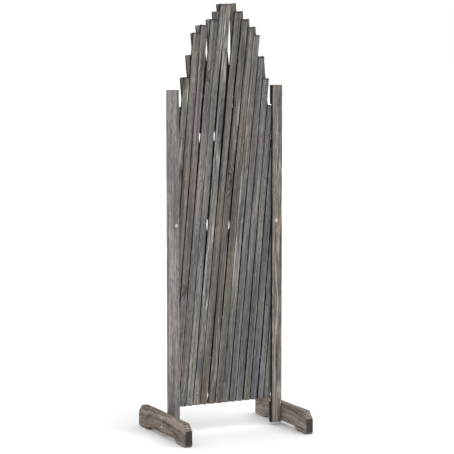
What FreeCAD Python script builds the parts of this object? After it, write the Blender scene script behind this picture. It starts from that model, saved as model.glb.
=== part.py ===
import FreeCAD, Part
import os
import Sketcher

# Expanding scissor-lattice room divider, shown closed.
# Row frame: +X to the right as seen from the front, -Y to the front, +Z up.
# The origin is on the floor, midway between the two posts and midway through their depth.
# All sizes are millimetres and degrees.

document = FreeCAD.newDocument("room_divider_screen")
sheet = document.addObject("Spreadsheet::Sheet", "sizes")

DRIVING_SIZES = {
    # lattice
    "rivet_pitch": 181.75,       # between crossings, along a slat
    "lean": 5.25,                # of every slat from upright, closed
    "bay_count": 28,             # columns of crossings between the two pivot bolts
    "slat_width": 31,
    "slat_thick": 9,
    "layer_gap": 0.4,            # between the front and rear slats
    "pivot_height": 885,         # of the two pivot bolts above the floor
    "lattice_bottom": 119,
    "end_margin": 20,            # least wood beyond a rivet
    "stub": 22,                  # of a short end, beyond the line of the pivot bolts
    # gable
    "peak_height": 1798,
    "tip_drop": 32,              # between steps near the peak
    "flank_drop": 91,            # between steps on the flanks
    "tip_steps": 4,              # number of small drops below the peak
    "left_rise": 9,              # of the left flank above the right one
    # rivets
    "rivet_radius": 2,
    "rivet_hole_radius": 2.3,
    "rivet_head_radius": 3.8,
    "rivet_head_rise": 1.5,
    "rivet_tail_radius": 3.4,
    "rivet_tail_rise": 1.0,
    # posts
    "post_width": 48,
    "post_depth": 28,
    "post_bottom": 13,
    "left_post_top": 1446,
    "right_post_top": 1459,
    "rebate_depth": 17.5,        # open at the back of a post on its inner side, for the lattice
    "rebate_width": 45,
    "rebate_bottom": 100,
    "rebate_top": 1378,
    "left_offset": 10,           # of the left post's centre line outside its pivot bolt
    "right_offset": 4,           # the same on the right
    "post_chamfer": 1.2,
    # feet
    "foot_length": 474,
    "foot_height": 96,
    "foot_thick": 32,
    "foot_top_chamfer": 29,
    "foot_toe_chamfer": 7,
    "arch_span": 310,
    "arch_rise": 15,
    "arch_slope_run": 27,
    "arch_round": 88,
    # screws that hold the feet
    "screw_low": 40,
    "screw_high": 80,
    "screw_radius": 3,
    "screw_head_radius": 6,
    "screw_head_rise": 3.2,
    "screw_length": 65,
    "foot_hole_radius": 3.3,
    # pivot bolts
    "bolt_radius": 4,
    "bolt_hole_radius": 4.3,
    "bolt_head_radius": 8,
    "bolt_head_rise": 3.6,
    "bolt_end": 2,               # of thread past the nut
    "washer_radius": 10,
    "washer_thick": 2.5,
    "nut_radius": 7.5,
    "nut_thick": 6.5,
    "running_gap": 0.3,          # between the rear slat and a tail or nut
}

# Height step of each slat's top, counted down from the peak, from left to right. Steps below
# zero are on the left flank, which stands a little higher.
FRONT_STEPS = (-6, -4, -3, 2, 0, 0, 1, 2, 3, 4, 5, 6, 7.25)
REAR_STEPS = (7.25, -6, -5, -4, -3, 2, 1, 0, 0, 1, 2, 3, 5)
FIRST_REAR_STEP = 2              # the rear slat that REAR_STEPS starts with
FRONT_SLATS = range(0, 16)
REAR_SLATS = range(-1, 15)
LEVELS = range(-4, 6)
BOLTED_SLATS = (0, 14)           # in each layer, the slats that a pivot bolt passes through

# Slats that reach a post stop short there. Counted inwards from the end that a layer leans away
# from, these are their numbers and the levels at which they cross the line of the pivot bolts.
ENDS_BELOW = {0: 0, 1: -2, 2: -4}
ENDS_ABOVE = {13: 2, 14: 0, 15: -2}

# Where things lie through the depth of the screen, as formulas of the driving sizes.
POST_WIDTH = ("-sizes.post_width / 2", "sizes.post_width / 2")
POST_DEPTH = ("-sizes.post_depth / 2", "sizes.post_depth / 2")
REBATE_FLOOR_Y = "sizes.post_depth / 2 - sizes.rebate_depth"
FRONT_LAYER_Y = REBATE_FLOOR_Y + " + sizes.washer_thick"
REAR_LAYER_Y = FRONT_LAYER_Y + " + sizes.slat_thick + sizes.layer_gap"
GRIP = "2 * sizes.slat_thick + sizes.layer_gap + sizes.running_gap"
COLUMN_STEP = "sizes.rivet_pitch * sin(sizes.lean * 1deg)"
LEVEL_STEP = "sizes.rivet_pitch * cos(sizes.lean * 1deg)"
HALF_SPAN = "sizes.bay_count / 2 * " + COLUMN_STEP
POST_CENTRE = HALF_SPAN + " + (sizes.left_offset + sizes.right_offset) / 2"
BOLT_X = {-1: f"sizes.left_offset - ({POST_CENTRE})", 1: f"{POST_CENTRE} - sizes.right_offset"}


def fill_sheet():
    """Write each driving size and its name into the sheet."""
    for row, (name, size) in enumerate(DRIVING_SIZES.items(), start=1):
        sheet.set(f"A{row}", name)
        sheet.set(f"B{row}", str(size))
        sheet.setAlias(f"B{row}", name)
    document.recompute()


def evaluate(formula):
    """The number that a formula of the sheet's sizes gives."""
    return float(sheet.evalExpression(formula))


def new_body(label):
    body = document.addObject("PartDesign::Body", label)
    body.Label = label
    body.AllowCompound = True
    return body


def origin_feature(body, role):
    for feature in body.Origin.OriginFeatures:
        if feature.Role == role:
            return feature
    raise RuntimeError(f"{body.Label} has no {role}")


def place(body, x="0", y="0", z="0", lean=None):
    """Put a body at a point, turned about Y by a formula where one is given."""
    turn = FreeCAD.Rotation(FreeCAD.Vector(0, 1, 0), evaluate(lean) if lean else 0)
    body.Placement = FreeCAD.Placement(FreeCAD.Vector(0, 0, 0), turn)
    body.setExpression("Placement.Base.x", x)
    body.setExpression("Placement.Base.y", y)
    body.setExpression("Placement.Base.z", z)
    if lean:
        body.setExpression("Placement.Rotation.Angle", f"({lean}) * 1deg")


def pin_point(sketch, edge, end, corner, name):
    """Tie one sketch point to its formulas."""
    axis_of = {"x": -2, "y": -1}
    kind_of = {"x": "DistanceX", "y": "DistanceY"}
    for letter, formula in zip("xy", corner):
        if formula == "0":
            sketch.addConstraint(Sketcher.Constraint("PointOnObject", edge, end, axis_of[letter]))
            continue
        distance = Sketcher.Constraint(kind_of[letter], -1, 1, edge, end, evaluate(formula))
        index = sketch.addConstraint(distance)
        sketch.renameConstraint(index, f"{name}_{letter}")
        sketch.setExpression(f"Constraints.{name}_{letter}", formula)


def dome_arc(start, end):
    """An arc between two points whose centre is on the sketch's vertical axis."""
    centre_y = (start.x ** 2 + start.y ** 2 - end.x ** 2 - end.y ** 2) / (2 * (start.y - end.y))
    centre = FreeCAD.Vector(0, centre_y, 0)
    radius = (start - centre).Length
    middle = centre + ((start + end) / 2 - centre).normalize() * radius
    return Part.Arc(start, middle, end)


def end_number(sketch, edge, point):
    """1 if the edge starts at the point, 2 if it ends there."""
    near_start = (sketch.getPoint(edge, 1) - point).Length
    near_end = (sketch.getPoint(edge, 2) - point).Length
    return 1 if near_start < near_end else 2


def outline(body, name, role, corners, domed_edges=()):
    """A closed sketch through corners given as pairs of formulas."""
    sketch = body.newObject("Sketcher::SketchObject", f"{body.Label}_{name}")
    sketch.AttachmentSupport = [(origin_feature(body, role), "")]
    sketch.MapMode = "FlatFace"
    points = [FreeCAD.Vector(evaluate(x), evaluate(y), 0) for x, y in corners]
    count = len(points)
    for index in range(count):
        start = points[index]
        end = points[(index + 1) % count]
        if index in domed_edges:
            sketch.addGeometry(dome_arc(start, end), False)
            sketch.addConstraint(Sketcher.Constraint("PointOnObject", index, 3, -2))
        else:
            sketch.addGeometry(Part.LineSegment(start, end), False)
    for index in range(count):
        before = (index - 1) % count
        here = end_number(sketch, index, points[index])
        there = end_number(sketch, before, points[index])
        sketch.addConstraint(Sketcher.Constraint("Coincident", before, there, index, here))
        pin_point(sketch, index, here, corners[index], f"p{index}")
    return sketch


def circle(body, name, role, centre, radius):
    """A sketch with one circle, its centre and radius given as formulas."""
    sketch = body.newObject("Sketcher::SketchObject", f"{body.Label}_{name}")
    sketch.AttachmentSupport = [(origin_feature(body, role), "")]
    sketch.MapMode = "FlatFace"
    middle = FreeCAD.Vector(evaluate(centre[0]), evaluate(centre[1]), 0)
    sketch.addGeometry(Part.Circle(middle, FreeCAD.Vector(0, 0, 1), evaluate(radius)), False)
    pin_point(sketch, 0, 3, centre, "centre")
    index = sketch.addConstraint(Sketcher.Constraint("Radius", 0, evaluate(radius)))
    sketch.renameConstraint(index, "radius")
    sketch.setExpression("Constraints.radius", radius)
    return sketch


def pad(body, sketch, length, reverse=False):
    feature = body.newObject("PartDesign::Pad", f"{body.Label}_pad")
    feature.Profile = sketch
    feature.Reversed = reverse
    feature.setExpression("Length", length)
    body.Tip = feature
    return feature


def pocket(body, sketch, name, length=None, reverse=False):
    """Cut a sketch through the body, or to a depth where a length is given."""
    feature = body.newObject("PartDesign::Pocket", f"{body.Label}_{name}")
    feature.Profile = sketch
    feature.Reversed = reverse
    if length:
        feature.setExpression("Length", length)
    else:
        feature.Type = "ThroughAll"
    body.Tip = feature
    return feature


def revolve(body, sketch, axis_role):
    feature = body.newObject("PartDesign::Revolution", f"{body.Label}_turned")
    feature.Profile = sketch
    feature.ReferenceAxis = (origin_feature(body, axis_role), [""])
    feature.Angle = 360
    body.Tip = feature
    return feature


def repeat(body, feature, axis_role, length, count):
    """Repeat a feature along one of the body's axes; length runs from first to last."""
    if count < 2:
        return feature
    row = body.newObject("PartDesign::LinearPattern", f"{body.Label}_row")
    row.Originals = [feature]
    row.Direction = (origin_feature(body, axis_role), [""])
    row.Occurrences = count
    row.setExpression("Length", length)
    body.Tip = row
    return row


def edges_where(body, test):
    """Names of the edges of the body's present shape whose middle and direction pass a test."""
    document.recompute()
    names = []
    for number, edge in enumerate(body.Tip.Shape.Edges, start=1):
        middle = edge.valueAt((edge.FirstParameter + edge.LastParameter) / 2)
        span = edge.BoundBox
        if test(middle, span):
            names.append(f"Edge{number}")
    return names


def dress(body, kind, size, test):
    """Add a Fillet or Chamfer of the given size to the edges that pass a test."""
    names = edges_where(body, test)
    base = body.Tip
    feature = body.newObject(f"PartDesign::{kind}", f"{body.Label}_{kind.lower()}")
    feature.Base = (base, names)
    feature.setExpression("Radius" if kind == "Fillet" else "Size", size)
    body.Tip = feature
    return feature


def step_height(step):
    """Formula for the height of a gable step."""
    count = abs(step)
    height = (f"sizes.peak_height - min({count}; sizes.tip_steps) * sizes.tip_drop"
              f" - max({count} - sizes.tip_steps; 0) * sizes.flank_drop")
    return height + " + sizes.left_rise" if step < 0 else height


def level_height(level):
    return f"sizes.pivot_height + ({level}) * {LEVEL_STEP}"


def slat_span(layer, index):
    """Formulas for the heights of a slat's lower and upper ends."""
    # The rear layer is the front layer mirrored, so it is counted from the right.
    order = index if layer == "front" else REAR_SLATS[-1] - index
    low = "sizes.lattice_bottom"
    if order in ENDS_BELOW:
        low = f"{level_height(ENDS_BELOW[order])} - sizes.stub"
    if order in ENDS_ABOVE:
        high = f"{level_height(ENDS_ABOVE[order])} + sizes.stub"
    elif layer == "front":
        high = step_height(FRONT_STEPS[index])
    else:
        high = step_height(REAR_STEPS[index - FIRST_REAR_STEP])
    return low, high


def reaches(layer, index, level):
    """Whether a slat has enough wood beyond a level for a rivet there."""
    low, high = slat_span(layer, index)
    height = evaluate(level_height(level))
    margin = evaluate("sizes.end_margin")
    return evaluate(low) + margin <= height <= evaluate(high) - margin


def crossing_levels(layer, index):
    """Levels where this slat crosses one of the other layer with wood enough on both."""
    levels = []
    for level in LEVELS:
        if layer == "front":
            other_layer, other, others = "rear", index + level, REAR_SLATS
        else:
            other_layer, other, others = "front", index - level, FRONT_SLATS
        if other in others and reaches(layer, index, level) and reaches(other_layer, other, level):
            levels.append(level)
    return levels


def levels_with_rivets(layer, index):
    """The crossing levels, without the one that a pivot bolt takes."""
    return [level for level in crossing_levels(layer, index) if level != 0 or index not in BOLTED_SLATS]


def slat_zero_x(index):
    """Formula for where a slat's line meets the level of the pivot bolts."""
    return f"{2 * index} * {COLUMN_STEP} + {BOLT_X[-1]}"


def build_slat(layer, index, label):
    """A flat slat, built upright from its lower end, with its row of rivet holes."""
    low, high = slat_span(layer, index)
    side = 1 if layer == "front" else -1
    rivet_levels = levels_with_rivets(layer, index)
    body = new_body(label)
    half = "sizes.slat_width / 2"
    length = f"(({high}) - ({low})) / cos(sizes.lean * 1deg)"
    board = outline(body, "outline", "XZ_Plane",
                    [(f"-{half}", "0"), (half, "0"), (half, length), (f"-{half}", length)])
    pad(body, board, "sizes.slat_thick", reverse=True)
    to_level_zero = f"(sizes.pivot_height - ({low})) / cos(sizes.lean * 1deg)"
    first = f"{to_level_zero} + ({rivet_levels[0]}) * sizes.rivet_pitch"
    hole = circle(body, "hole", "XZ_Plane", ("0", first), "sizes.rivet_hole_radius")
    cut = pocket(body, hole, "rivet_hole")
    repeat(body, cut, "Z_Axis", f"{len(rivet_levels) - 1} * sizes.rivet_pitch", len(rivet_levels))
    if index in BOLTED_SLATS:
        bore = circle(body, "bore", "XZ_Plane", ("0", to_level_zero), "sizes.bolt_hole_radius")
        pocket(body, bore, "bolt_hole")
    drop = f"({low} - sizes.pivot_height)"
    place(body,
          x=f"{slat_zero_x(index)} + {side} * {drop} * tan(sizes.lean * 1deg)",
          y=FRONT_LAYER_Y if layer == "front" else REAR_LAYER_Y,
          z=low,
          lean=f"{side} * sizes.lean")
    return body


def build_rivets(index, label):
    """The rivets that stay with one front slat: domed head in front, flat tail behind."""
    levels = levels_with_rivets("front", index)
    body = new_body(label)
    tail_end = f"{GRIP} + sizes.rivet_tail_rise"
    profile = outline(body, "profile", "XY_Plane",
                      [("0", "-sizes.rivet_head_rise"), ("sizes.rivet_head_radius", "0"),
                       ("sizes.rivet_radius", "0"), ("sizes.rivet_radius", GRIP),
                       ("sizes.rivet_tail_radius", GRIP), ("sizes.rivet_tail_radius", tail_end),
                       ("0", tail_end)],
                      domed_edges=(0,))
    rivet = revolve(body, profile, "Y_Axis")
    repeat(body, rivet, "Z_Axis", f"{len(levels) - 1} * sizes.rivet_pitch", len(levels))
    first = f"({levels[0]}) * sizes.rivet_pitch"
    place(body,
          x=f"{slat_zero_x(index)} + {first} * sin(sizes.lean * 1deg)",
          y=FRONT_LAYER_Y,
          z=level_height(levels[0]),
          lean="sizes.lean")
    return body


def post_block(side, label, across, through, bottom, top):
    """One block of a post, its sides given as formulas from the middle of the post."""
    body = new_body(label)
    section = outline(body, "section", "XY_Plane",
                      [(across[0], through[0]), (across[1], through[0]),
                       (across[1], through[1]), (across[0], through[1])])
    pad(body, section, f"{top} - {bottom}")
    place(body, x=f"{side} * ({POST_CENTRE})", z=bottom)
    return body


def build_post_face(side, label):
    """The board in front of the lattice, with the bore for the pivot bolt."""
    body = post_block(side, label, POST_WIDTH, (POST_DEPTH[0], REBATE_FLOOR_Y),
                      "sizes.rebate_bottom", "sizes.rebate_top")
    bore = circle(body, "bore", "XZ_Plane",
                  (f"{BOLT_X[side]} - {side} * ({POST_CENTRE})",
                   "sizes.pivot_height - sizes.rebate_bottom"),
                  "sizes.bolt_radius")
    cut = pocket(body, bore, "pivot_bore")
    cut.Midplane = True
    return body


def build_post_cheek(side, label):
    """The strip beside the lattice, on the outer side."""
    outer = f"{side} * sizes.post_width / 2"
    inner = f"{side} * (sizes.rebate_width - sizes.post_width / 2)"
    return post_block(side, label, (inner, outer), (REBATE_FLOOR_Y, POST_DEPTH[1]),
                      "sizes.rebate_bottom", "sizes.rebate_top")


def build_post_head(side, label, crown):
    body = post_block(side, label, POST_WIDTH, POST_DEPTH, "sizes.rebate_top", crown)
    height = evaluate(f"{crown} - sizes.rebate_top")
    dress(body, "Chamfer", "sizes.post_chamfer",
          lambda middle, span: abs(middle.z - height) < 1e-3)
    return body


def build_post_heel(side, label):
    """The block that the foot is screwed to."""
    body = post_block(side, label, POST_WIDTH, POST_DEPTH,
                      "sizes.post_bottom", "sizes.rebate_bottom")
    pilot = circle(body, "pilot", "YZ_Plane", ("0", "sizes.screw_low - sizes.post_bottom"),
                   "sizes.screw_radius")
    pilot.setExpression("AttachmentOffset.Base.z", f"{side} * sizes.post_width / 2")
    hole = pocket(body, pilot, "pilot_hole", "sizes.screw_length - sizes.foot_thick",
                  reverse=side < 0)
    repeat(body, hole, "Z_Axis", "sizes.screw_high - sizes.screw_low", 2)
    return body


def build_foot(side, label):
    """A foot board on the outer side of a post, with cut corners and an arched underside."""
    body = new_body(label)
    half_length = "sizes.foot_length / 2"
    # The sketch plane's first axis is the row's Y and its second is Z.
    board = outline(body, "outline", "YZ_Plane",
                    [(f"-{half_length}", "0"), (half_length, "0"),
                     (half_length, "sizes.foot_height"), (f"-{half_length}", "sizes.foot_height")])
    pad(body, board, "sizes.foot_thick", reverse=side < 0)
    half_span = "sizes.arch_span / 2"
    crown = "(sizes.arch_span / 2 - sizes.arch_slope_run)"
    arch = outline(body, "arch", "YZ_Plane",
                   [(f"-{half_span}", "0"), (half_span, "0"),
                    (crown, "sizes.arch_rise"), (f"-{crown}", "sizes.arch_rise")])
    pocket(body, arch, "underside", "sizes.foot_thick", reverse=side > 0)
    screw_hole = circle(body, "screw", "YZ_Plane", ("0", "sizes.screw_low"), "sizes.foot_hole_radius")
    hole = pocket(body, screw_hole, "screw_hole", "sizes.foot_thick", reverse=side > 0)
    repeat(body, hole, "Z_Axis", "sizes.screw_high - sizes.screw_low", 2)
    end = evaluate(half_length)
    height = evaluate("sizes.foot_height")
    rise = evaluate("sizes.arch_rise")
    across = evaluate("sizes.foot_thick") - 1e-3
    dress(body, "Chamfer", "sizes.foot_top_chamfer",
          lambda middle, span: abs(abs(middle.y) - end) < 1e-3 and abs(middle.z - height) < 1e-3
          and span.XLength > across)
    dress(body, "Chamfer", "sizes.foot_toe_chamfer",
          lambda middle, span: abs(abs(middle.y) - end) < 1e-3 and abs(middle.z) < 1e-3
          and span.XLength > across)
    dress(body, "Fillet", "sizes.arch_round",
          lambda middle, span: abs(middle.z - rise) < 1e-3 and span.XLength > across)
    place(body, x=f"{side} * ({POST_CENTRE} + sizes.post_width / 2)")
    return body


def build_foot_screws(side, label):
    """Two round-headed coach screws through a foot into its post."""
    body = new_body(label)
    shank_end = "-(sizes.screw_length - 2 * sizes.screw_radius)"
    profile = outline(body, "profile", "XZ_Plane",
                      [("0", "sizes.screw_head_rise"), ("sizes.screw_head_radius", "0"),
                       ("sizes.screw_radius", "0"), ("sizes.screw_radius", shank_end),
                       ("0", "-sizes.screw_length")],
                      domed_edges=(0,))
    turned = revolve(body, profile, "Z_Axis")
    # Turned on end so that its length lies along the row's X.
    repeat(body, turned, "X_Axis", "sizes.screw_high - sizes.screw_low", 2)
    outer_face = f"{side} * ({POST_CENTRE} + sizes.post_width / 2 + sizes.foot_thick)"
    place(body, x=outer_face, z="sizes.screw_low" if side < 0 else "sizes.screw_high",
          lean=f"{side} * 90")
    return body


def build_pivot_bolt(side, label):
    """The bolt that a side of the lattice turns on, domed in front of the post."""
    body = new_body(label)
    wall = "sizes.post_depth - sizes.rebate_depth + sizes.washer_thick"
    tip = f"{wall} + {GRIP} + sizes.nut_thick + sizes.bolt_end"
    profile = outline(body, "profile", "XY_Plane",
                      [("0", "-sizes.bolt_head_rise"), ("sizes.bolt_head_radius", "0"),
                       ("sizes.bolt_radius", "0"), ("sizes.bolt_radius", tip), ("0", tip)],
                      domed_edges=(0,))
    revolve(body, profile, "Y_Axis")
    place(body, x=BOLT_X[side], y="-sizes.post_depth / 2", z="sizes.pivot_height")
    return body


def build_washer(side, label):
    """The spacer that keeps the lattice clear of its post."""
    body = new_body(label)
    profile = outline(body, "profile", "XY_Plane",
                      [("sizes.bolt_radius", "0"), ("sizes.washer_radius", "0"),
                       ("sizes.washer_radius", "sizes.washer_thick"),
                       ("sizes.bolt_radius", "sizes.washer_thick")])
    revolve(body, profile, "Y_Axis")
    place(body, x=BOLT_X[side], y=REBATE_FLOOR_Y, z="sizes.pivot_height")
    return body


def build_nut(side, label):
    """A six-sided nut behind the rear slat."""
    body = new_body(label)
    corners = []
    for angle in range(0, 360, 60):
        corners.append((f"sizes.nut_radius * cos({angle}deg)", f"sizes.nut_radius * sin({angle}deg)"))
    hexagon = outline(body, "hexagon", "XZ_Plane", corners)
    pad(body, hexagon, "sizes.nut_thick", reverse=True)
    thread = circle(body, "thread", "XZ_Plane", ("0", "0"), "sizes.bolt_radius")
    pocket(body, thread, "thread_hole")
    place(body, x=BOLT_X[side], y=f"{FRONT_LAYER_Y} + {GRIP}", z="sizes.pivot_height")
    return body


def build_stand(side, name):
    """The sub-parts of one side's post, foot and fastenings, each with its bodies."""
    return {
        f"{name}_post_face": [build_post_face(side, f"{name}_post_face")],
        f"{name}_post_cheek": [build_post_cheek(side, f"{name}_post_cheek")],
        f"{name}_post_blocks": [build_post_head(side, f"{name}_post_head",
                                                f"sizes.{name}_post_top"),
                                build_post_heel(side, f"{name}_post_heel")],
        f"{name}_foot": [build_foot(side, f"{name}_foot")],
        f"{name}_foot_screws": [build_foot_screws(side, f"{name}_foot_screws")],
        f"{name}_pivot_bolt": [build_pivot_bolt(side, f"{name}_bolt"),
                               build_washer(side, f"{name}_washer"),
                               build_nut(side, f"{name}_nut")],
    }


def build_all():
    """Every sub-part's name, with its bodies."""
    subparts = build_stand(-1, "left") | build_stand(1, "right")
    for index in FRONT_SLATS:
        number = index - FRONT_SLATS[0] + 1
        slat = f"front_slat_{number:02d}"
        rivets = f"rivets_{number:02d}"
        subparts[slat] = [build_slat("front", index, slat)]
        subparts[rivets] = [build_rivets(index, rivets)]
    for index in REAR_SLATS:
        number = index - REAR_SLATS[0] + 1
        slat = f"rear_slat_{number:02d}"
        subparts[slat] = [build_slat("rear", index, slat)]
    return subparts


def check_and_write(subparts):
    """Stop on any failed object or bad shape, then write one STEP file for each sub-part."""
    document.recompute()
    for item in document.Objects:
        if "Invalid" in item.State or "Error" in item.State:
            raise RuntimeError(f"{item.Name} failed: {item.State}")
    os.makedirs("parts", exist_ok=True)
    for label, bodies in subparts.items():
        for body in bodies:
            if body.Shape.isNull() or not body.Shape.isValid():
                raise RuntimeError(f"{body.Label} has no valid shape")
        shape = bodies[0].Shape
        if len(bodies) > 1:
            shape = Part.makeCompound([body.Shape for body in bodies])
        shape.exportStep(f"parts/{label}.step")
        box = shape.BoundBox
        print(f"{label}: {len(shape.Solids)} solids, {shape.Volume / 1000:.1f} cm3,"
              f" x {box.XMin:.1f} {box.XMax:.1f}, y {box.YMin:.1f} {box.YMax:.1f},"
              f" z {box.ZMin:.1f} {box.ZMax:.1f}")


fill_sheet()
check_and_write(build_all())
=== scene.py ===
"""The looks of a folding screen: weathered, grey-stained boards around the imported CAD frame."""

import math
import random

import bpy
from mathutils import Euler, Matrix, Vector, noise


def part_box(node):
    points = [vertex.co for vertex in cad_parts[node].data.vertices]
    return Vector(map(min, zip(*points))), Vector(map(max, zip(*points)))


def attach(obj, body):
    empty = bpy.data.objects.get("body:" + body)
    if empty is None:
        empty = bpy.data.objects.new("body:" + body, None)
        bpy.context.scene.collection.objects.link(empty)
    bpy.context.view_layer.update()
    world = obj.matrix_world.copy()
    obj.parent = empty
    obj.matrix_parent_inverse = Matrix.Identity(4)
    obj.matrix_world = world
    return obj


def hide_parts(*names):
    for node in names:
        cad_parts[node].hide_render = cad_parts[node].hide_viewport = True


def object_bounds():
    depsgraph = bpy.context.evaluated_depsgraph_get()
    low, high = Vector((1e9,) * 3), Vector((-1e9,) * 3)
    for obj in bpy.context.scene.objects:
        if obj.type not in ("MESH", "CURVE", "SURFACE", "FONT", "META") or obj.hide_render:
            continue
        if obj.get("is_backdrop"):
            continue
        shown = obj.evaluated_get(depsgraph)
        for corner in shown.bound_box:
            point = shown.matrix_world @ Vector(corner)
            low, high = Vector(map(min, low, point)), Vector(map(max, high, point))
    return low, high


MM = 0.001

# The slats, as designed, and the distance between two neighbours' centre lines.
SLAT_LEAN = math.radians(5.25)
SLAT_WIDTH = 31 * MM
SLAT_DEPTH = 9 * MM
SLAT_SPACING = 33.12 * MM

# The rebate at the back of a post's inner side, as designed.
REBATE_DEPTH = 17.5 * MM
REBATE_WIDTH = 45 * MM
REBATE_BOTTOM = 100 * MM
REBATE_TOP = 1378 * MM

# The outline of a foot, as designed.
FOOT_TOP_CHAMFER = 29 * MM
FOOT_TOE_CHAMFER = 7 * MM
ARCH_SPAN = 310 * MM
ARCH_RISE = 15 * MM
ARCH_SLOPE_RUN = 27 * MM
ARCH_ROUND = 88 * MM

# Rounds of the boards' arrises, and how deep wear and raised grain cut into the boards.
SLAT_ARRIS = 1.1 * MM
POST_ARRIS = 2.2 * MM
FOOT_ARRIS = 2.4 * MM
SLAT_WEAR = 0.7 * MM
POST_WEAR = 1.0 * MM
FOOT_WEAR = 1.2 * MM
GRAIN_RELIEF = 0.22 * MM

# How far a slat's edges wander, and how much narrower than designed a rear slat may be.
SLAT_WANDER = 0.2 * MM
REAR_SLAT_SHRINK = 1.2 * MM

# Mesh spacing.
RING_STEP = 11 * MM
WIDE_SIDE_PARTS = 8
NARROW_SIDE_PARTS = 4
CORNER_PARTS = 3
CAP_SCALES = (0.94, 0.7, 0.4)

# The wood's growth rings, and the share of its pattern's cells that hold a knot.
RING_WIDTH = 3.6 * MM
PITH_DISTANCE = 50 * MM
BOARD_KNOTS = 0.16
FOOT_KNOTS = 0.22

# Stains that the boards have taken on, as sRGB values from 0 to 255.
STAINS = {
    "ash": (130, 128, 125),
    "pale": (140, 138, 135),
    "sage": (121, 121, 117),
    "umber": (124, 118, 113),
    "bark": (113, 108, 103),
    "rose": (126, 118, 116),
    "plum": (122, 118, 120),
    "slate": (119, 117, 120),
    "dusk": (124, 120, 118),
    "tan": (119, 110, 103),
}
FRONT_STAINS = ("ash", "umber", "rose", "ash", "ash", "pale", "umber", "bark",
                "umber", "ash", "plum", "plum", "ash", "slate", "slate", "ash")
REAR_STAINS = ("bark", "plum", "sage", "bark", "umber", "bark", "bark", "umber",
               "rose", "ash", "umber", "sage", "bark", "ash", "sage", "plum")
SLAT_LIGHT = (0.58, 0.66)
POST_LIGHT = 0.79
# The right foot is lighter than the left: painted light that makes up for the shade it stands in.
FOOT_TONE_AND_PAINTED_LIGHT = {"left": 0.86, "right": 1.12}

# How dark the front slats' tips are and how far down, how dark the painted shade is on the
# rear slats behind the front ones, how long their bare tips are, and over what length the
# painted shade fades out there.
TIP_SOAK = 0.7
TIP_SOAK_REACH = 8 * MM
COVERED_PAINTED_SHADE = 0.9
BARE_TIP = 100 * MM
BARE_TIP_FADE = 80 * MM

# ---------------------------------------------------------------- camera and frame


def make_camera():
    data = bpy.data.cameras.new("camera")
    data.sensor_width = 36
    data.lens = 152.1
    camera = bpy.data.objects.new("camera", data)
    camera.location = (-3.512, -7.188, 1.786)
    camera.rotation_euler = (math.radians(90 - 6.55), 0, math.radians(-26.10))
    data.clip_end = 200
    bpy.context.scene.collection.objects.link(camera)
    bpy.context.scene.camera = camera


# ---------------------------------------------------------------- materials


def paint(red, green, blue, light=1.0):
    """A linear colour from sRGB values, made lighter or darker."""
    values = []
    for value in (red, green, blue):
        share = value / 255
        linear = share / 12.92 if share <= 0.04045 else ((share + 0.055) / 1.055) ** 2.4
        values.append(min(1.0, linear * light))
    return (*values, 1.0)


def add_node(tree, kind, settings=None, **inputs):
    """A node with its settings, and its inputs joined to sockets or given values."""
    node = tree.nodes.new(kind)
    for name, value in (settings or {}).items():
        setattr(node, name, value)
    for name, value in inputs.items():
        socket = node.inputs[int(name[1:])] if name[0] == "i" and name[1:].isdigit() \
            else node.inputs[name.replace("_", " ")]
        if isinstance(value, bpy.types.NodeSocket):
            tree.links.new(value, socket)
        else:
            socket.default_value = value
    return node


def maths(tree, operation, first, second=0.0, third=0.0):
    node = add_node(tree, "ShaderNodeMath", {"operation": operation},
                    i0=first, i1=second, i2=third)
    return node.outputs[0]


def stretched(tree, vector, across, along):
    """The vector with its grain pulled out lengthwise: cells per metre across and along."""
    node = add_node(tree, "ShaderNodeVectorMath", {"operation": "MULTIPLY"},
                    i0=vector, i1=(across, across, along))
    return node.outputs[0]


def noise_value(tree, vector, detail=3.0, roughness=0.5):
    node = add_node(tree, "ShaderNodeTexNoise", Vector=vector, Scale=1.0, Detail=detail,
                    Roughness=roughness)
    return node.outputs["Fac"]


def remap(tree, value, low, high, to_low=0.0, to_high=1.0):
    node = add_node(tree, "ShaderNodeMapRange", {"interpolation_type": "SMOOTHSTEP"},
                    Value=value, i1=low, i2=high, i3=to_low, i4=to_high)
    return node.outputs[0]


def mixed(tree, share, first, second, blend="MIX"):
    node = add_node(tree, "ShaderNodeMix", {"data_type": "RGBA", "blend_type": blend},
                    i0=share, i6=first, i7=second)
    return node.outputs[2]


def tinted(tree, colour, red, green, blue):
    return mixed(tree, 1.0, colour, (red, green, blue, 1.0), "MULTIPLY")


def ramp(tree, value, stops):
    node = add_node(tree, "ShaderNodeValToRGB", Fac=value)
    points = node.color_ramp.elements
    while len(points) < len(stops):
        points.new(0.5)
    for point, (place, colour) in zip(points, stops):
        point.position = place
        point.color = colour
    return node.outputs["Color"]


def new_material(name):
    material = bpy.data.materials.new(name)
    material.use_nodes = True
    tree = material.node_tree
    shader = tree.nodes["Principled BSDF"]
    return material, tree, shader


def board_mark(tree, name, output="Fac"):
    """A value that build_board has left on the points of a board."""
    return add_node(tree, "ShaderNodeAttribute", {"attribute_name": name}).outputs[output]


def knot_pattern(tree, place, share):
    """How near a knot is and where one is. A share of the cells of a stretched cell pattern
    hold one each."""
    cells = add_node(tree, "ShaderNodeTexVoronoi", Vector=stretched(tree, place, 26, 7),
                     Scale=1.0)
    distance = cells.outputs["Distance"]
    chosen = add_node(tree, "ShaderNodeSeparateColor", Color=cells.outputs["Color"]).outputs[0]
    has_knot = maths(tree, "LESS_THAN", chosen, share)
    near_knot = maths(tree, "MULTIPLY", has_knot, remap(tree, distance, 0.0, 0.55, 1.0, 0.0))
    knot = maths(tree, "MULTIPLY", has_knot, remap(tree, distance, 0.12, 0.24, 1.0, 0.0))
    return near_knot, knot


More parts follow.
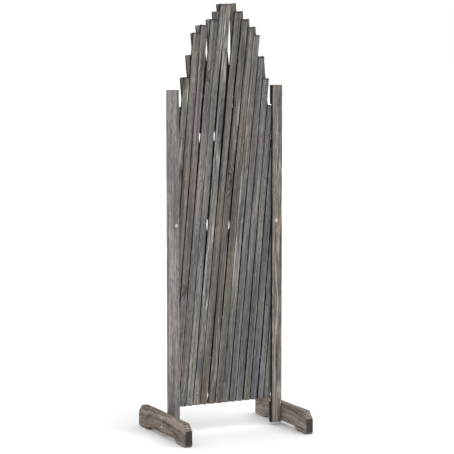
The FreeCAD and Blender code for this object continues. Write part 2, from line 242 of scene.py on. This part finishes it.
def growth_rings(tree, place, shifted, near_knot, angle):
    """Rings around a pith outside the board, bent by slow noise and by the knots."""
    drift = noise_value(tree, stretched(tree, shifted, 14, 2.2), 2.0)
    pith = (PITH_DISTANCE * math.cos(angle), PITH_DISTANCE * math.sin(angle), 0.0)
    from_pith = add_node(tree, "ShaderNodeVectorMath", {"operation": "ADD"},
                         i0=stretched(tree, place, 1.0, 0.012), i1=pith).outputs[0]
    radius = add_node(tree, "ShaderNodeVectorMath", {"operation": "LENGTH"},
                      i0=from_pith).outputs["Value"]
    radius = maths(tree, "MULTIPLY_ADD", drift, 0.022, radius)
    radius = maths(tree, "MULTIPLY_ADD", near_knot, 0.010, radius)
    rings = maths(tree, "SINE", maths(tree, "MULTIPLY", radius, 2 * math.pi / RING_WIDTH))
    return maths(tree, "MULTIPLY_ADD", rings, 0.5, 0.5)


def wood(name, stain, seed, light, knots=BOARD_KNOTS):
    """Weathered, stained softwood. The grain mark holds each point's place in its board:
    across, through and along it. The worn and cut marks are its arrises and its sawn ends. The
    third mark is painted shade, near black, in the gaps between the slats, on the rear slats
    behind the front ones and on the posts' inner sides, and it darkens the front slats' tips."""
    material, tree, shader = new_material(name)
    dice = random.Random(seed)
    place = board_mark(tree, "grain", "Vector")
    start = tuple(dice.uniform(-5, 5) for _ in range(3))
    shifted = add_node(tree, "ShaderNodeVectorMath", {"operation": "ADD"},
                       i0=place, i1=start).outputs[0]
    near_knot, knot = knot_pattern(tree, shifted, knots)
    rings = growth_rings(tree, place, shifted, near_knot, dice.uniform(0, 2 * math.pi))

    fibre = noise_value(tree, stretched(tree, shifted, 480, 9), 4.0, 0.6)
    streak = noise_value(tree, stretched(tree, shifted, 130, 2.2), 3.0, 0.6)
    patch = noise_value(tree, stretched(tree, shifted, 38, 3.0), 3.0, 0.6)
    bleach = noise_value(tree, stretched(tree, shifted, 75, 1.1), 2.0)
    hue = noise_value(tree, stretched(tree, shifted, 16, 3.2), 2.0)
    fleck = noise_value(tree, stretched(tree, shifted, 210, 34), 3.0, 0.65)

    tone = maths(tree, "MULTIPLY", rings, 0.10)
    for pattern, share in ((fibre, 0.16), (streak, 0.30), (patch, 0.20), (fleck, 0.24)):
        tone = maths(tree, "MULTIPLY_ADD", pattern, share, tone)
    colour = ramp(tree, tone, [
        (0.38, paint(*stain, 0.22 * light)),
        (0.45, paint(*stain, 0.70 * light)),
        (0.53, paint(*stain, 1.18 * light)),
        (0.61, paint(*stain, 2.5 * light)),
    ])
    brown = tinted(tree, colour, 1.08, 0.98, 0.89)
    colour = mixed(tree, remap(tree, hue, 0.46, 0.66, 0.0, 0.6), colour, brown)
    cool = tinted(tree, colour, 0.98, 0.98, 1.02)
    colour = mixed(tree, remap(tree, hue, 0.34, 0.5, 0.5, 0.0), colour, cool)
    pale = tinted(tree, colour, 1.45, 1.40, 1.33)
    colour = mixed(tree, remap(tree, bleach, 0.57, 0.7, 0.0, 0.6), colour, pale)
    knot_dark = tinted(tree, colour, 0.42, 0.36, 0.31)
    colour = mixed(tree, maths(tree, "MULTIPLY", near_knot, 0.35), colour, knot_dark)
    colour = mixed(tree, maths(tree, "MULTIPLY", knot, 0.8), colour, knot_dark)
    worn_share = maths(tree, "MULTIPLY", board_mark(tree, "worn"),
                       remap(tree, patch, 0.4, 0.6, 0.05, 0.55))
    colour = mixed(tree, worn_share, colour, pale)

    # Sawn ends soak up more stain, more so between the rings.
    end_grain = noise_value(tree, stretched(tree, shifted, 900, 900), 2.0)
    end_share = maths(tree, "MULTIPLY_ADD", rings, 0.30, maths(tree, "MULTIPLY", end_grain, 0.4))
    end_colour = ramp(tree, end_share, [
        (0.15, paint(*stain, 0.10 * light)),
        (0.65, paint(*stain, 0.42 * light)),
    ])
    colour = mixed(tree, board_mark(tree, "cut"), colour, end_colour)
    # Painted shade: the gaps between the slats, the rear slats behind the front ones and the
    # posts' inner sides go near black, and the front slats' tips are darkened.
    dark = tinted(tree, colour, 0.03, 0.03, 0.03)
    colour = mixed(tree, board_mark(tree, "painted_shade_and_tips"), colour, dark)

    height = maths(tree, "MULTIPLY_ADD", rings, 0.35, fibre)
    height = maths(tree, "MULTIPLY_ADD", knot, 0.6, height)
    bump = add_node(tree, "ShaderNodeBump", Strength=0.55, Distance=0.6 * MM, Height=height)
    tree.links.new(colour, shader.inputs["Base Color"])
    tree.links.new(remap(tree, streak, 0.3, 0.7, 0.92, 0.7), shader.inputs["Roughness"])
    tree.links.new(bump.outputs["Normal"], shader.inputs["Normal"])
    shader.inputs["Specular IOR Level"].default_value = 0.3
    return material


def metal(name, bright, dull):
    """Plated steel: cloudy plating with a fine grain and rust in patches."""
    material, tree, shader = new_material(name)
    place = add_node(tree, "ShaderNodeTexCoord").outputs["Object"]
    cloud = noise_value(tree, stretched(tree, place, 320, 320), 4.0, 0.6)
    fine = noise_value(tree, stretched(tree, place, 2600, 2600), 2.0)
    patches = noise_value(tree, stretched(tree, place, 140, 90), 3.0)
    colour = mixed(tree, remap(tree, cloud, 0.35, 0.65), paint(*bright), paint(*dull))
    rust = mixed(tree, fine, paint(92, 62, 44), paint(128, 92, 66))
    rusty = remap(tree, patches, 0.62, 0.78)
    colour = mixed(tree, rusty, colour, rust)
    bump = add_node(tree, "ShaderNodeBump", Strength=0.25, Distance=0.2 * MM, Height=fine)
    tree.links.new(colour, shader.inputs["Base Color"])
    tree.links.new(maths(tree, "SUBTRACT", 1.0, rusty), shader.inputs["Metallic"])
    tree.links.new(remap(tree, cloud, 0.3, 0.7, 0.28, 0.5), shader.inputs["Roughness"])
    tree.links.new(bump.outputs["Normal"], shader.inputs["Normal"])
    return material


# ---------------------------------------------------------------- boards


def rounded_section(low_x, high_x, low_y, high_y, radius):
    """Points around a board's section, with how close each one is to an arris."""
    corners = [
        (high_x - radius, low_y + radius, -90, NARROW_SIDE_PARTS),
        (high_x - radius, high_y - radius, 0, WIDE_SIDE_PARTS),
        (low_x + radius, high_y - radius, 90, NARROW_SIDE_PARTS),
        (low_x + radius, low_y + radius, 180, WIDE_SIDE_PARTS),
    ]
    points = []
    for number, (x, y, first_angle, parts) in enumerate(corners):
        for step in range(CORNER_PARTS + 1):
            angle = math.radians(first_angle + 90 * step / CORNER_PARTS)
            points.append((x + radius * math.cos(angle), y + radius * math.sin(angle), 1.0))
        next_x, next_y, next_angle, _ = corners[(number + 1) % 4]
        turn = math.radians(next_angle)
        end = (next_x + radius * math.cos(turn), next_y + radius * math.sin(turn))
        begin = points[-1]
        for step in range(1, parts):
            share = step / parts
            points.append((begin[0] + (end[0] - begin[0]) * share,
                           begin[1] + (end[1] - begin[1]) * share, 0.0))
    return points


def ring_heights(low, high, corners=()):
    """Heights of the rings, even along the board and close together at its ends and corners."""
    edge = 1.5 * MM
    heights = {low, low + edge, high - edge, high}
    for corner in corners:
        heights.update((corner - edge / 2, corner + edge / 2))
    count = max(2, round((high - low) / RING_STEP))
    for number in range(1, count):
        height = low + (high - low) * number / count
        if all(abs(height - other) > RING_STEP / 4 for other in heights):
            heights.add(height)
    return sorted(heights)


def grain_depth(at, start):
    """How deep the raised grain leaves a place."""
    x, y, height = at
    grain = noise.noise(Vector((x * 260, y * 260, height * 7)) + start)
    grain += 0.6 * noise.noise(Vector((x * 560, y * 560, height * 16)) - start)
    return GRAIN_RELIEF * (0.5 + 0.5 * grain)


def wear_depth(at, start, wear):
    """How deep a place on an arris is rubbed and chipped away."""
    x, y, height = at
    rub = noise.noise(Vector((x * 40, y * 40, height * 9)) + start)
    chip = noise.noise(Vector((x * 90, y * 90, height * 45)) - start)
    return wear * max(0.0, rub) + 2.2 * wear * max(0.0, chip - 0.42)


def step_inward(to_middle, depth, arris, half_through):
    """How a place moves in by a depth: both ways on an arris, square to its side elsewhere."""
    step = Vector((math.copysign(min(abs(to_middle.x), depth), to_middle.x),
                   math.copysign(min(abs(to_middle.y), depth), to_middle.y), 0))
    if arris:
        return step
    on_wide_side = abs(abs(to_middle.y) - half_through) < MM / 1000
    return Vector((0, step.y, 0)) if on_wide_side else Vector((step.x, 0, 0))


def side_faces(rings, around):
    """The faces between rings of points, each with the same number of points around."""
    faces = []
    for ring in range(rings - 1):
        for number in range(around):
            following = (number + 1) % around
            faces.append((ring * around + number, ring * around + following,
                          (ring + 1) * around + following, (ring + 1) * around + number))
    return faces


def build_board(name, section, heights, seed, wear, painted_shade_and_tips=None):
    """A board lofted through its sections along Z, with raised grain and worn arrises cut into
    it. section(height) gives the limits across and through and the arris radius, and the last
    argument, called with a place across, through and along, how dark the place is painted, with
    painted shade and darker tips, where across and through run from -1 to 1."""
    start = Vector((seed * 3.7, seed * 1.3, seed * 0.9))
    points, places, worn, cut, dark = [], [], [], [], []

    def add_ring(height, scale, cut_share):
        low_x, high_x, low_y, high_y, radius = section(height)
        middle_x, middle_y = (low_x + high_x) / 2, (low_y + high_y) / 2
        for x, y, arris in rounded_section(low_x, high_x, low_y, high_y, radius):
            depth = grain_depth((x, y, height), start)
            if arris:
                depth += wear_depth((x, y, height), start, wear)
            to_middle = Vector((middle_x - x, middle_y - y, 0))
            moved = Vector((x, y, height))
            moved += step_inward(to_middle, depth, arris, (high_y - low_y) / 2)
            moved.x = middle_x + (moved.x - middle_x) * scale
            moved.y = middle_y + (moved.y - middle_y) * scale
            points.append(moved)
            places.append(Vector((x - middle_x, y - middle_y, height)))
            worn.append(arris)
            cut.append(cut_share)
            across = (x - middle_x) / (high_x - middle_x - radius / 2)
            through = (y - middle_y) / (high_y - middle_y - radius / 2)
            dark.append(painted_shade_and_tips(across, through, height) if painted_shade_and_tips else 0.0)

    low, high = heights[0], heights[-1]
    for scale in CAP_SCALES[::-1]:
        add_ring(low, scale, 1.0)
    for height in heights:
        at_end = height in (low, high)
        add_ring(height, 0.97 if at_end else 1.0, 1.0 if at_end else 0.0)
    for scale in CAP_SCALES:
        add_ring(high, scale, 1.0)
    around = len(rounded_section(0, 1, 0, 1, 0.1))
    faces = side_faces(len(points) // around, around)
    for first_point, order in ((0, -1), (len(points) - around, 1)):
        places.append(sum(places[first_point:first_point + around], Vector()) / around)
        points.append(sum(points[first_point:first_point + around], Vector()) / around)
        worn.append(0.0)
        cut.append(1.0)
        dark.append(0.0)
        centre = len(points) - 1
        for number in range(around):
            pair = (first_point + number, first_point + (number + 1) % around)
            faces.append((*pair[::order], centre))
    mesh = bpy.data.meshes.new(name)
    mesh.from_pydata(points, [], faces)
    mesh.validate()
    mesh.attributes.new("grain", "FLOAT_VECTOR", "POINT").data.foreach_set(
        "vector", [value for place in places for value in place])
    for attribute, values in (("worn", worn), ("cut", cut), ("painted_shade_and_tips", dark)):
        mesh.attributes.new(attribute, "FLOAT", "POINT").data.foreach_set("value", values)
    mesh.polygons.foreach_set("use_smooth", [True] * len(mesh.polygons))
    board = bpy.data.objects.new(name, mesh)
    bpy.context.scene.collection.objects.link(board)
    sharpen(mesh)
    return board


def sharpen(mesh):
    """Marks the edges between the sides and the sawn ends as sharp."""
    normals = {}
    for polygon in mesh.polygons:
        for key in polygon.edge_keys:
            normals.setdefault(key, []).append(polygon.normal)
    sharp = mesh.attributes.new("sharp_edge", "BOOLEAN", "EDGE")
    limit = math.cos(math.radians(38))
    flags = []
    for edge in mesh.edges:
        pair = normals.get(tuple(sorted(edge.vertices)), [])
        flags.append(len(pair) == 2 and pair[0].dot(pair[1]) < limit)
    sharp.data.foreach_set("value", flags)


def smooth(share):
    """A share held between 0 and 1, with soft starts and stops."""
    share = min(1.0, max(0.0, share))
    return share * share * (3 - 2 * share)


# The gap on the right of each front slat, by the slat's number, as it has opened, closed and
# crept sideways: how far its middle is off the even spacing and how wide it is, in mm, at each
# of GAP_HEIGHTS.
GAP_HEIGHTS = (0.25, 0.90, 1.40, 1.72)
EVEN_GAP = ((0, 2.2),) * len(GAP_HEIGHTS)
FRONT_GAPS = {
    1: ((0, 2.4), (-1, 2.8), (-4, 2), (-6, 1)),
    2: ((0, 2), (-1, 3.4), (-3.5, 1.4), (-7, 0.9)),
    3: ((0, 1.8), (-1.2, 3), (-3, 8), (-2.5, 13)),
    4: ((0, 0.8), (0, 1), (0, 0.8), (7, 0.8)),
    5: ((-0.5, 1.8), (-0.9, 7.2), (-2.5, 7.4), (0, 0.9)),
    6: ((-1, 2), (1.6, 2.8), (1.8, 10), (1, 19)),
    7: ((1.2, 6), (1.4, 1.4), (5.5, 6.4), (11, 4.5)),
    8: ((2.5, 3.2), (2, 6.2), (6.8, 3), (10.5, 1.6)),
    9: ((2.3, 0.9), (2, 0.9), (5.8, 1), (8.5, 1)),
    10: ((1.8, 3.6), (1.8, 4.4), (4.8, 2.4), (5.5, 1.8)),
    11: ((0.6, 2.8), (0.5, 2.6), (2, 1.8), (2.5, 1.4)),
    12: ((1.7, 5.4), (0, 2.8), (0, 2.2), (1, 1.6)),
    13: ((1.5, 2.8), (-1.4, 3.6), (-2, 2.6), (0, 1.6)),
    14: ((2.8, 5.6), (-2, 3), (-2, 2.6), (0, 2)),
}

# How far the tips of the rear slats have crept sideways, in mm, and their widths there, by the
# slats' numbers.
REAR_TIP_SHIFT = {8: -10, 9: 9, 10: 6, 11: -4, 12: 22, 13: 20, 14: 14, 15: 5}
REAR_TIP_WIDTH = {13: 27, 14: 26}
# Heights where light comes through on the left of a rear slat, whose edge is worn away there.
REAR_OPENINGS = {5: (0.167,), 7: (0.888, 1.247), 9: (1.256,), 10: (0.883,), 12: (1.238, 1.428)}
OPENING_DEPTH = 6.5 * MM
OPENING_REACH = 20 * MM
BEND_START = 1.42
BEND_FULL = 1.80


def gap_beside(number, height):
    """The offset and the width of the gap on the right of a front slat, at a height."""
    values = FRONT_GAPS.get(number, EVEN_GAP)
    last = len(GAP_HEIGHTS) - 1
    step = 0
    while step < last - 1 and height > GAP_HEIGHTS[step + 1]:
        step += 1
    share = smooth((height - GAP_HEIGHTS[step]) / (GAP_HEIGHTS[step + 1] - GAP_HEIGHTS[step]))
    return [(low + (high - low) * share) * MM for low, high in zip(values[step], values[step + 1])]


def front_edges(number, height):
    """Where a front slat's two narrow sides are, across from its centre line."""
    left_offset, left_gap = gap_beside(number - 1, height)
    right_offset, right_gap = gap_beside(number, height)
    return (-SLAT_SPACING / 2 + left_offset + left_gap / 2,
            SLAT_SPACING / 2 + right_offset - right_gap / 2)


def rear_edges(number, height, width):
    """The same for a rear slat, which bends towards its tip and is worn beside an opening."""
    bend = smooth((height - BEND_START) / (BEND_FULL - BEND_START))
    tip_width = REAR_TIP_WIDTH.get(number, width / MM) * MM
    half = (width + (tip_width - width) * bend) / 2
    shift = REAR_TIP_SHIFT.get(number, 0) * MM * bend
    worn = 0.0
    for opening in REAR_OPENINGS.get(number, ()):
        worn += OPENING_DEPTH * smooth(1.6 - abs(height - opening) / OPENING_REACH)
    return shift - half + worn, shift + half


def add_slat(layer, number):
    """One slat, from its CAD node's box. Front slats lean right, rear slats left."""
    node = f"{layer}_slat_{number:02d}"
    low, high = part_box(node)
    centre = (low + high) / 2
    length = (high.z - low.z - SLAT_WIDTH * math.sin(SLAT_LEAN)) / math.cos(SLAT_LEAN)
    lean = SLAT_LEAN if layer == "front" else -SLAT_LEAN
    seed = number if layer == "front" else number + 40
    dice = random.Random(seed)
    rear_width = SLAT_WIDTH - dice.uniform(0, REAR_SLAT_SHRINK)

    def section(along):
        height = centre.z + along * math.cos(lean)
        if layer == "front":
            left, right = front_edges(number, height)
        else:
            left, right = rear_edges(number, height, rear_width)
        left += SLAT_WANDER * noise.noise(Vector((along * 6, seed, 0)))
        right -= SLAT_WANDER * noise.noise(Vector((along * 6, seed, 5)))
        return (left, right, -SLAT_DEPTH / 2, SLAT_DEPTH / 2, SLAT_ARRIS)

    # Painted shade: the narrow sides, in the gaps between the slats, and the rear slats' front
    # faces behind the front slats are painted near black; the front slats' tips are darkened.
    def painted_shade_and_tips(across, through, along):
        from_tip = length / 2 - along
        if abs(across) >= 1:
            return 1.0
        if through > -0.9:
            return 0.0
        if layer == "front":
            return TIP_SOAK * smooth(1 - from_tip / TIP_SOAK_REACH)
        return COVERED_PAINTED_SHADE * smooth((from_tip - BARE_TIP) / BARE_TIP_FADE)

    board = build_board(f"{layer}_board_{number:02d}", section,
                        ring_heights(-length / 2, length / 2), seed, SLAT_WEAR, painted_shade_and_tips)
    board.rotation_euler = Euler((0, lean, 0))
    board.location = centre
    stains = FRONT_STAINS if layer == "front" else REAR_STAINS
    stain = STAINS[stains[number - 1]]
    light = dice.uniform(*SLAT_LIGHT)
    board.data.materials.append(wood(f"{layer}_wood_{number:02d}", stain, seed, light))
    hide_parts(node)
    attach(board, f"{layer}_{number:02d}")


def cut_rebate(board, half, middle_height, inner):
    """Cuts the rebate from a post's board, gives each point its place in the board again and
    paints shade, near black, on the inner side, which faces the lattice."""
    mesh = bpy.data.meshes.new("cutter")
    reach = 20 * MM
    along_x = sorted((inner * (half.x + reach), inner * (half.x - REBATE_WIDTH)))
    along_y = (half.y - REBATE_DEPTH, half.y + reach)
    along_z = (REBATE_BOTTOM - middle_height, REBATE_TOP - middle_height)
    corners = [(x, y, z) for x in along_x for y in along_y for z in along_z]
    mesh.from_pydata(corners, [], [(0, 1, 3, 2), (4, 6, 7, 5), (0, 4, 5, 1), (2, 3, 7, 6),
                                   (0, 2, 6, 4), (1, 5, 7, 3)])
    cutter = bpy.data.objects.new("cutter", mesh)
    bpy.context.scene.collection.objects.link(cutter)
    boolean = board.modifiers.new("rebate", "BOOLEAN")
    boolean.operation = "DIFFERENCE"
    boolean.solver = "EXACT"
    boolean.object = cutter
    bpy.context.view_layer.update()
    shown = board.evaluated_get(bpy.context.evaluated_depsgraph_get())
    carved = bpy.data.meshes.new_from_object(shown)
    board.modifiers.clear()
    board.data = carved
    bpy.data.objects.remove(cutter)
    places = carved.attributes["grain"].data
    for vertex, place in zip(carved.vertices, places):
        place.vector = vertex.co
    # Painted shade on the post's inner side, beside the lattice.
    inner_side = half.x - 1.5 * MM
    painted_shade_and_tips = carved.attributes["painted_shade_and_tips"].data
    for vertex, mark in zip(carved.vertices, painted_shade_and_tips):
        mark.value = 1.0 if inner * vertex.co.x > inner_side else 0.0


def add_post(side, stain, seed):
    """One board in the shape that the CAD blocks of a post make together."""
    blocks = [f"{side}_post_{part}" for part in ("face", "cheek", "blocks")]
    boxes = [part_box(block) for block in blocks]
    low = Vector([min(box[0][axis] for box in boxes) for axis in range(3)])
    high = Vector([max(box[1][axis] for box in boxes) for axis in range(3)])
    centre = (low + high) / 2
    half = (high - low) / 2
    inner = 1 if side == "left" else -1

    def section(height):
        return (-half.x, half.x, -half.y, half.y, POST_ARRIS)

    board = build_board(f"{side}_post_board", section, ring_heights(-half.z, half.z), seed,
                        POST_WEAR)
    cut_rebate(board, half, centre.z, inner)
    board.location = centre
    board.data.materials.append(wood(f"{side}_post_wood", stain, seed, POST_LIGHT))
    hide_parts(*blocks)
    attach(board, f"{side}_stand")


def arch_height(along):
    """The height of a foot's underside at a distance from its middle: a flat stretch, two
    rounds and two slopes down to the pads."""
    slope_start = ARCH_SPAN / 2
    slope = math.atan2(ARCH_RISE, ARCH_SLOPE_RUN)
    flat_end = slope_start - ARCH_SLOPE_RUN
    tangent = ARCH_ROUND * math.tan(slope / 2)
    if along <= flat_end - tangent:
        return ARCH_RISE
    round_end = flat_end + tangent * math.cos(slope)
    if along <= round_end:
        run = along - (flat_end - tangent)
        return ARCH_RISE - (ARCH_ROUND - math.sqrt(ARCH_ROUND ** 2 - run ** 2))
    return max(0.0, ARCH_RISE * (slope_start - along) / ARCH_SLOPE_RUN)


def add_foot(side, stain, seed):
    """A foot board, built upright along its length and then laid down."""
    low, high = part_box(f"{side}_foot")
    middle = (low + high) / 2
    half_thick = (high.x - low.x) / 2
    half_length = (high.y - low.y) / 2
    height = high.z - low.z

    def section(along):
        from_end = half_length - abs(along)
        top = height - max(0.0, FOOT_TOP_CHAMFER - from_end)
        bottom = arch_height(abs(along)) + max(0.0, FOOT_TOE_CHAMFER - from_end)
        return (-half_thick, half_thick, -top, -bottom, FOOT_ARRIS)

    corners = [ARCH_SPAN / 2, half_length - FOOT_TOP_CHAMFER, half_length - FOOT_TOE_CHAMFER]
    corners += [-corner for corner in corners]
    board = build_board(f"{side}_foot_board", section,
                        ring_heights(-half_length, half_length, corners), seed, FOOT_WEAR)
    board.rotation_euler = Euler((math.radians(-90), 0, 0))
    board.location = (middle.x, middle.y, low.z)
    board.data.materials.append(wood(f"{side}_foot_wood", stain, seed, FOOT_TONE_AND_PAINTED_LIGHT[side],
                                     FOOT_KNOTS))
    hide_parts(f"{side}_foot")
    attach(board, f"{side}_stand")


# ---------------------------------------------------------------- floor and light


def add_floor():
    """A wide, pale floor, just clear of the feet."""
    reach = 40
    mesh = bpy.data.meshes.new("floor")
    mesh.from_pydata([(-reach, -reach, 0), (reach, -reach, 0), (reach, reach, 0),
                      (-reach, reach, 0)], [], [(0, 1, 2, 3)])
    floor = bpy.data.objects.new("floor", mesh)
    floor.location.z = -0.2 * MM
    bpy.context.scene.collection.objects.link(floor)
    material, _, shader = new_material("pale_floor")
    shader.inputs["Base Color"].default_value = (0.985, 0.985, 0.985, 1)
    shader.inputs["Roughness"].default_value = 0.9
    shader.inputs["Specular IOR Level"].default_value = 0.0
    mesh.materials.append(material)
    floor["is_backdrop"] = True


def add_sun(name, source, spread, strength):
    """Even light from the direction of its source, softened over a spread in degrees."""
    data = bpy.data.lights.new(name, "SUN")
    data.angle = math.radians(spread)
    data.energy = strength
    light = bpy.data.objects.new(name, data)
    light.rotation_euler = (-Vector(source)).to_track_quat("-Z", "Y").to_euler()
    bpy.context.scene.collection.objects.link(light)


def light_studio():
    world = bpy.data.worlds.new("studio")
    world.use_nodes = True
    background = world.node_tree.nodes["Background"]
    background.inputs["Color"].default_value = (1, 1, 1, 1)
    background.inputs["Strength"].default_value = 1.0
    bpy.context.scene.world = world
    bpy.context.scene.view_settings.view_transform = "Standard"
    add_sun("key", source=(0.45, -0.55, 1.0), spread=50, strength=0.75)


# ---------------------------------------------------------------- the scene

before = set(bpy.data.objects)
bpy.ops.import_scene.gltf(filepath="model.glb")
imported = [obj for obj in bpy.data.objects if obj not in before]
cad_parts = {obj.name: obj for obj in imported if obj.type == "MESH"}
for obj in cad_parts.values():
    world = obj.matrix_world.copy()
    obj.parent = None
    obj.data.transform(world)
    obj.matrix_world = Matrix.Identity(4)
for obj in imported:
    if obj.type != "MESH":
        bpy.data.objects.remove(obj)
cad_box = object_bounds()
make_camera()
light_studio()
add_floor()

for number in range(1, 17):
    add_slat("front", number)
    add_slat("rear", number)
add_post("left", STAINS["dusk"], 101)
add_post("right", STAINS["umber"], 102)
add_foot("left", STAINS["tan"], 103)
add_foot("right", STAINS["tan"], 104)

zinc = metal("zinc", (205, 204, 198), (160, 160, 156))
dark_steel = metal("dark_steel", (120, 114, 109), (92, 87, 83))
metal_nodes = {"rivets": dark_steel, "pivot_bolt": zinc, "foot_screws": zinc}
for name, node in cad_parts.items():
    for kind, material in metal_nodes.items():
        if kind in name:
            node.data.materials.clear()
            node.data.materials.append(material)

boxes = {"cad": cad_box, "visual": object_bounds()}
{name: [list(corner) for corner in box] for name, box in boxes.items()}
